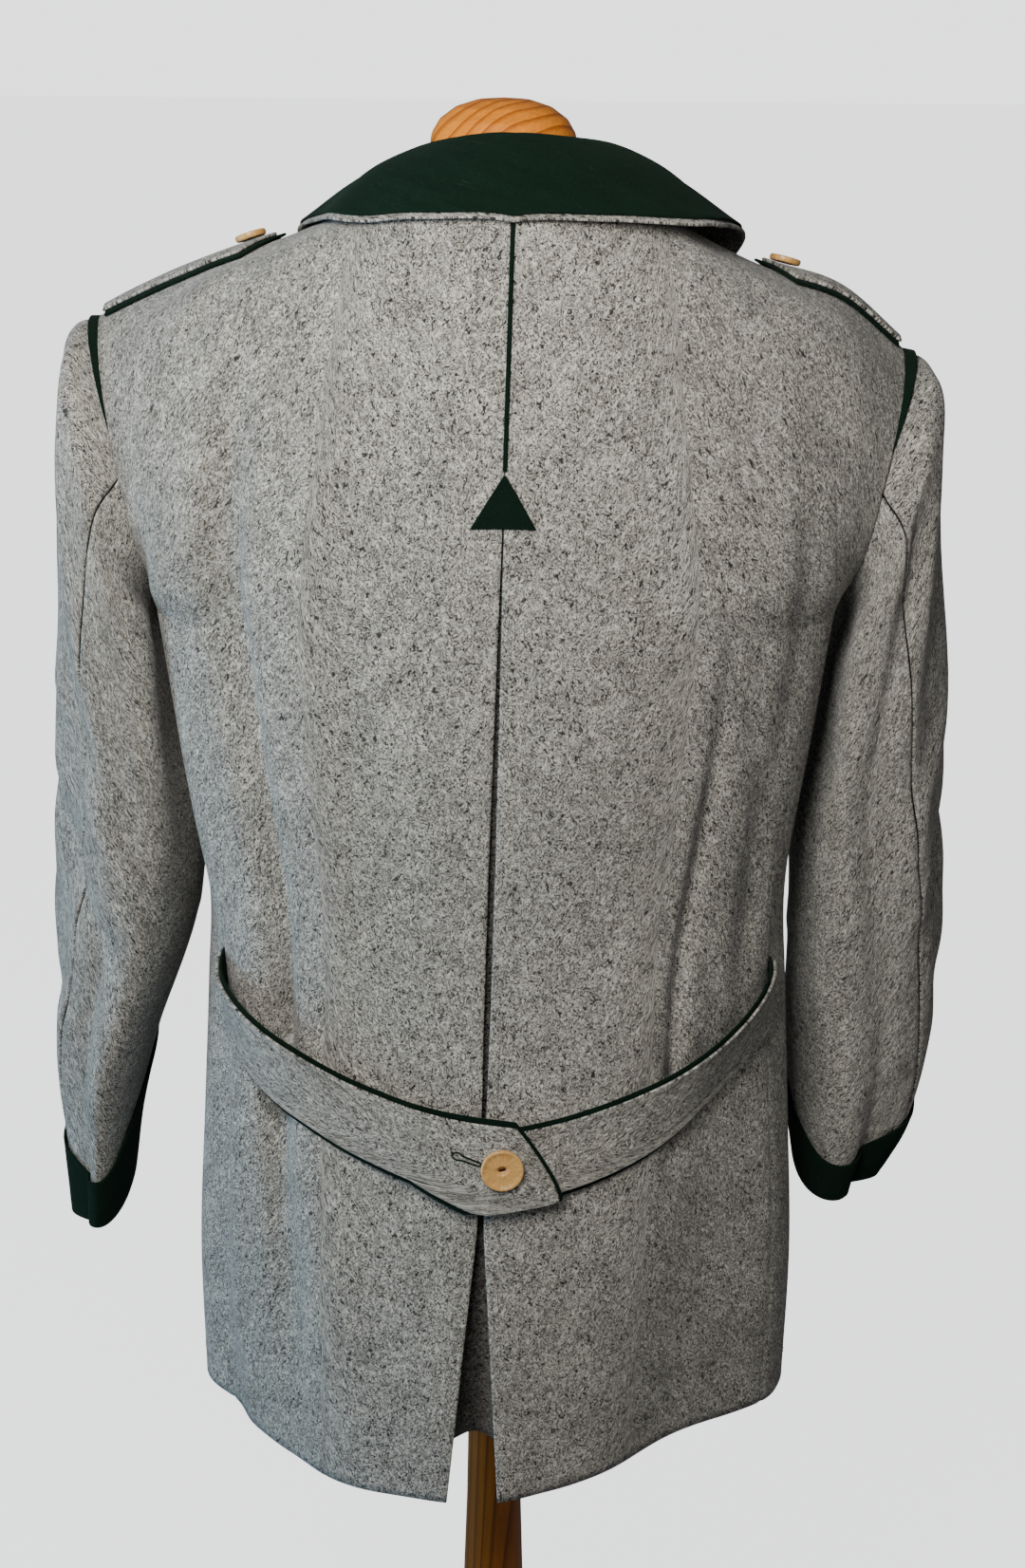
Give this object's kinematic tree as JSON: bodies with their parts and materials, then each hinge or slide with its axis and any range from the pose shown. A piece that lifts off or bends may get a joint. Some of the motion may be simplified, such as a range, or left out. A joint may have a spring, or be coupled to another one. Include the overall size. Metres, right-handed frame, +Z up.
{
  "type": "tyrolean loden jacket on a dress form stand",
  "caption": "Grey loden jacket with green felt collar, cuffs, trims, back pleat and buttoned half belt, open at neck, hem and sleeves, on a limbless dress form with a wooden stand.",
  "frame": {"origin": "on the floor, at the centre of the stand's base underside, under the pole's axis", "axes": "+Z up; +Y out of the jacket's back; -Y out of its front; +X to the wearer's left"},
  "size_m": [0.584, 0.344, 1.5183],
  "materials": {
    "loden": "grey salt and pepper melange, milled wool",
    "green_felt": "dark green wool felt, matt",
    "horn": "pale horn, satin",
    "jersey": "black cotton jersey",
    "wood": "honey-coloured pine, clear satin varnish"
  },
  "bodies": {
    "root": {"back_left": "loden", "back_right": "loden", "front_left": "loden", "front_right": "loden", "pleat_underlay": "loden", "sleeve_left_top": "loden", "sleeve_left_under": "loden", "sleeve_right_top": "loden", "sleeve_right_under": "loden", "collar_under": "loden", "lapel_left": "loden", "lapel_right": "loden", "strap_left": "loden", "strap_right": "loden", "belt_left": "loden", "belt_right": "loden", "collar_felt": "green_felt", "cuff_left": "green_felt", "cuff_right": "green_felt", "wedge_left": "green_felt", "wedge_right": "green_felt", "strap_felt_left": "green_felt", "strap_felt_right": "green_felt", "belt_felt_left": "green_felt", "belt_felt_right": "green_felt", "seam_piping": "green_felt", "back_arrow": "green_felt", "button_belt": "horn", "button_strap_left": "horn", "button_strap_right": "horn", "button_front_1": "horn", "button_front_2": "horn", "button_front_3": "horn", "button_front_4": "horn", "form_torso": "jersey", "neck_cap": "wood", "pole": "wood", "base": "wood"}
  },
  "joints": []
}
